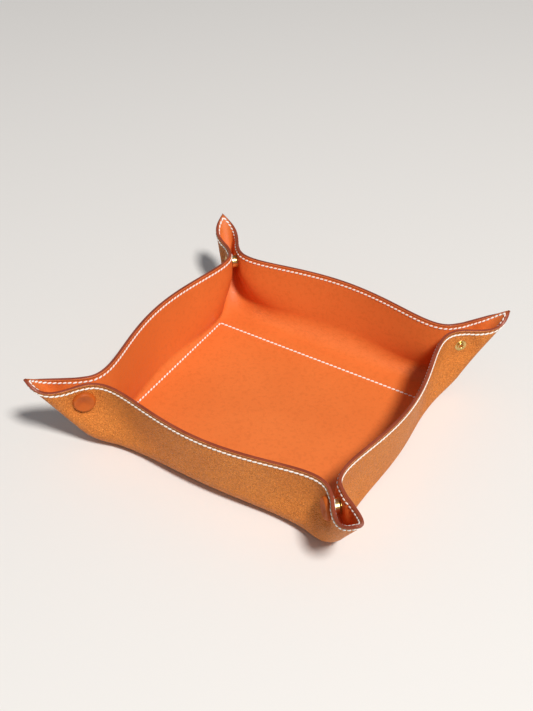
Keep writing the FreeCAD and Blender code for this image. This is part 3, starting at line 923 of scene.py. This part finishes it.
def seamStations(kind):
    # even stitches along the seam below the rim, from the wall's middle to the ridge
    samples = 1201
    stations = np.linspace(0, 2, samples)
    rings = 1 - seamInset / rimGap(kind, np.zeros(samples), stations)
    line = gluePoint(kind, rings, stations)
    length = np.concatenate([[0], np.cumsum(lengths(np.diff(line, axis=0)))])
    count = int(round(length[-1] / stitchLook["pitch"]))
    where = (np.arange(count) + 0.5) * length[-1] / count
    return np.interp(where, length, rings), np.interp(where, length, stations)


def bothFaces(wall, flip, rings, stations):
    kind = wallKinds[wall]
    centre, ahead, normal = seamFrame(kind, rings, stations)
    half = sheet["thick"] / 2
    inner = [placed(wall, v, flip) for v in (centre + normal * half, ahead, normal)]
    outer = [placed(wall, v, flip) for v in (centre - normal * half, ahead, -normal)]
    outside = np.repeat([False, True], len(centre))
    return [np.concatenate(pair) for pair in zip(inner, outer)] + [outside]


# Saddle stitching below the rim, on both faces of the walls and round the ears
for wall, kind in wallKinds.items():
    rings, stations = seamStations(kind)
    onWall = stations < foldStation(kind, rings)
    parts = [bothFaces(wall, flip, rings[onWall], stations[onWall]) for flip in (False, True)]
    obj = stitchRun(wall + "RimStitches", *[np.concatenate(p) for p in zip(*parts)])
    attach(obj, wall + "_wall")
    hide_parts(wall + "_wall_stitching")
for corner, pair in corners.items():
    for wall in pair:
        kind, flip, half = wallKinds[wall], flips[wall, corner], halfName(wall)
        rings, stations = seamStations(kind)
        onEar = stations >= foldStation(kind, rings)
        seam = bothFaces(wall, flip, rings[onEar], stations[onEar])
        obj = stitchRun("earStitches." + corner + "." + half, *seam)
        earBlend(obj, wall, flip)

frameLook = {"halfLength": 77.0, "halfWidth": 57.2}


def frameRun():
    corner = [np.array([x * frameLook["halfLength"], y * frameLook["halfWidth"], 0.0])
              for x, y in ((-1, -1), (1, -1), (1, 1), (-1, 1), (-1, -1))]
    floorTop = upward * (sheet["glue"] + sheet["thick"] / 2)
    centres, tangents = [], []
    for a, b in zip(corner, corner[1:]):
        length = np.linalg.norm(b - a)
        count = int(round(length / stitchLook["pitch"]))
        for i in range(count):
            centres.append(a + (b - a) * (i + 0.5) / count + floorTop)
            tangents.append((b - a) / length)
    normals = np.repeat(upward[None, :], len(centres), 0)
    outside = np.zeros(len(centres), bool)
    return stitchRun("baseFrameStitches", np.array(centres), np.array(tangents), normals, outside)


frameStitches = frameRun()
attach(frameStitches, "base")
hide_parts("base_stitching")
print("stitches made")


snapLook = {"seat": 4.2, "turns": 48, "smooth": 50}
coverLook = {"radius": 6.75, "crown": 2.8, "sink": 0.3, "tuck": 0.5, "turnIn": 0.4, "bulge": 0.08,
             "bulgeUp": 0.35, "round": 1.3, "roundFrom": 0.7, "roundSteps": 9, "topInset": 1.7,
             "topSteps": 24, "dimple": 1.3, "dimpleRadius": 3.5}
eyeletLook = {"radius": 3.9, "hole": 1.3, "wall": 0.3, "shank": 2.2, "bore": 1.9, "boreTop": 0.4, "sink": 0.2,
              "edge": 0.1, "roll": 0.35, "rollFrom": 0.1, "rollSteps": 7, "flatInset": 0.6, "flatUp": 0.45,
              "flatDip": 0.3, "flatShares": (0.3, 0.6, 1.0), "lip": 0.5, "lipFrom": 0.15, "lipRise": 0.95,
              "lipStart": 0.08, "lipSteps": 9, "holeSpare": 1.02}


def snapPlace(corner):
    # the middle of a stud, in metres, and the way from it to its cap
    alongX = 1 if corner.endswith("right") else -1
    alongY = 1 if corner.startswith("back") else -1
    out = sheet["snapOut"]
    middle = Vector((out * alongX, out * alongY, sheet["snapHeight"])) * mm
    return middle, Vector((-alongX, alongY, 0)).normalized()


def turnedPiece(name, profilePoints, corner, sign, material):
    # a line of points spun round the stud's axis and stood at its corner
    mesh = bpy.data.meshes.new(name)
    points = [(r * mm, 0, h * mm) for r, h in profilePoints]
    mesh.from_pydata(points, [(i, i + 1) for i in range(len(points) - 1)], [])
    obj = linked(name, mesh)
    activate(obj)
    bpy.ops.object.mode_set(mode="EDIT")
    bpy.ops.mesh.select_all(action="SELECT")
    bpy.ops.mesh.spin(steps=snapLook["turns"], angle=2 * math.pi, center=(0, 0, 0), axis=(0, 0, 1))
    bpy.ops.mesh.select_all(action="SELECT")
    bpy.ops.mesh.remove_doubles(threshold=0.00001)
    bpy.ops.mesh.normals_make_consistent(inside=False)
    bpy.ops.object.mode_set(mode="OBJECT")
    middle, capWay = snapPlace(corner)
    turn = Vector((0, 0, 1)).rotation_difference(capWay * sign).to_matrix().to_4x4()
    mesh.transform(Matrix.Translation(middle) @ turn)
    mesh.materials.append(material)
    activate(obj)
    smoothUnder(snapLook["smooth"])
    return obj


def arcPoints(middle, sweep, low, rise, angles):
    return [(middle + sweep * math.cos(a), low + rise * math.sin(a)) for a in angles]


def coverProfile():
    look, seat = coverLook, snapLook["seat"]
    radius, crown, sweep = look["radius"], look["crown"], look["round"]
    points = [(0, seat - look["sink"]), (radius - look["tuck"], seat - look["sink"]),
              (radius - look["turnIn"], seat), (radius - look["bulge"], seat + look["bulgeUp"])]
    points += arcPoints(radius - sweep, sweep, seat + look["roundFrom"], crown - look["roundFrom"],
                        np.linspace(0, math.pi / 2, look["roundSteps"]))
    for r in np.linspace(radius - look["topInset"], 0, look["topSteps"]):
        dip = look["dimple"] * math.exp(-(r / look["dimpleRadius"]) ** 2)
        points.append((r, seat + crown - dip))
    return points


def eyeletProfile():
    look, seat = eyeletLook, snapLook["seat"]
    radius, hole, lip, roll = look["radius"], look["hole"], look["lip"], look["roll"]
    shank = hole + look["wall"]
    points = [(0, seat - look["shank"]), (shank, seat - look["shank"]), (shank, seat - look["sink"]),
              (radius - look["edge"], seat - look["sink"]), (radius, seat)]
    # a rolled edge
    points += arcPoints(radius - roll, roll, seat + look["rollFrom"], roll,
                        np.linspace(0, math.pi / 2, look["rollSteps"]))
    flat = np.linspace(radius - look["flatInset"], hole + 2 * lip, len(look["flatShares"]))
    for share, r in zip(look["flatShares"], flat):  # a flat that dips towards the lip
        points.append((r, seat + look["flatUp"] - look["flatDip"] * math.sin(share * math.pi / 2)))
    # the lip round the hole
    points += arcPoints(hole + lip, lip, seat + look["lipFrom"], look["lipRise"],
                        np.linspace(look["lipStart"], 1, look["lipSteps"]) * math.pi)
    points += [(hole, seat - look["boreTop"]), (hole, seat - look["bore"]), (0, seat - look["bore"])]
    return points


def darkenHole(eyelet, corner):
    # the bore takes a dark finish with no polish: painted shade deep in the hole
    eyelet.data.materials.append(boreShadeMaterial)
    middle, capWay = snapPlace(corner)
    boreRadius = eyeletLook["hole"] * eyeletLook["holeSpare"] * mm
    for polygon in eyelet.data.polygons:
        away = Vector(polygon.center) - middle
        height = -away.dot(capWay)
        inBore = (away + capWay * height).length < boreRadius
        if inBore and height < snapLook["seat"] * mm:
            polygon.material_index = 1


for corner in corners:
    cover = turnedPiece("capCover." + corner, coverProfile(), corner, 1, capMaterial)
    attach(cover, "ear_" + corner + "_cap_half")
    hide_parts("snap_cap_cover_" + corner)
    eyelet = turnedPiece("eyelet." + corner, eyeletProfile(), corner, -1, brassMaterial)
    darkenHole(eyelet, corner)
    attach(eyelet, "ear_" + corner + "_stud_half")
    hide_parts("snap_eyelet_" + corner)
print("studs made")

# Finish the solids that stay in view
finishes = {"outer_leather": outerMaterial, "lining_leather": liningMaterial, "thread": threadMaterial,
            "brass": brassMaterial, "stiffener": boardMaterial, "cap_leather": capMaterial}
slotOf = {part["node"]: part["material_slot"] for part in frame["record"]["subparts"]}
for name, node in frame["nodes"].items():
    for place in node.material_slots:
        place.material = finishes[slotOf[name]]

# Floor, light and camera
stageLook = {"floor": (0.80, 0.785, 0.765, 1), "floorSize": 12, "floorDrop": 0.0001, "floorRough": 0.85,
             "floorShine": 0.2, "sky": (0.93, 0.95, 1.0, 1), "skyPower": 0.21}
lampLooks = {
    "keyLamp": {"way": (0.46, -0.30, 0.835), "distance": 3.0, "size": 0.5, "power": 93.0,
                "colour": (1.0, 0.97, 0.93)},
    "fillLamp": {"way": (-0.6, -0.5, 0.6), "distance": 1.2, "size": 1.0, "power": 0.25,
                 "colour": (0.95, 0.97, 1.0)}}
deselect()
bpy.ops.mesh.primitive_plane_add(size=stageLook["floorSize"], location=(0, 0, -stageLook["floorDrop"]))
ground = bpy.context.active_object
ground.name = "studioFloor"
groundMaterial, _, groundShader, _ = newMaterial(
    "studioFloor", stageLook["floorShine"], stageLook["floorRough"])
groundShader.inputs["Base Color"].default_value = stageLook["floor"]
ground.data.materials.append(groundMaterial)
for name, look in lampLooks.items():
    data = bpy.data.lights.new(name, "AREA")
    data.shape = "DISK"
    data.size = look["size"]
    data.energy = look["power"]
    data.color = look["colour"]
    lamp = linked(name, data)
    direction = Vector(look["way"]).normalized()
    lamp.location = direction * look["distance"]
    lamp.rotation_euler = direction.to_track_quat("Z", "Y").to_euler()
world = bpy.data.worlds.new("studioWorld")
scene.world = world
world.use_nodes = True
sky = next(n for n in world.node_tree.nodes if n.type == "BACKGROUND")
sky.inputs["Color"].default_value = stageLook["sky"]
sky.inputs["Strength"].default_value = stageLook["skyPower"]

viewLook = {"azimuth": 29.13, "elevation": 38.9, "roll": 1.95, "place": (0.2455, -0.4549, 0.4623),
            "focal": 1101.5, "tall": 711, "sensor": 36, "nearest": 0.01}
cameraData = bpy.data.cameras.new("camera")
cameraData.sensor_width = viewLook["sensor"]
cameraData.lens = viewLook["focal"] * viewLook["sensor"] / viewLook["tall"]
cameraData.clip_start = viewLook["nearest"]
camera = linked("camera", cameraData)
azimuth, elevation = math.radians(viewLook["azimuth"]), math.radians(viewLook["elevation"])
level = math.cos(elevation)
backward = Vector((math.sin(azimuth) * level, -math.cos(azimuth) * level, math.sin(elevation)))
turn = (-backward).to_track_quat("-Z", "Y").to_matrix().to_4x4()
roll = Matrix.Rotation(math.radians(viewLook["roll"]), 4, "Z")
camera.matrix_world = Matrix.Translation(viewLook["place"]) @ turn @ roll
scene.camera = camera
print("stage and camera set")
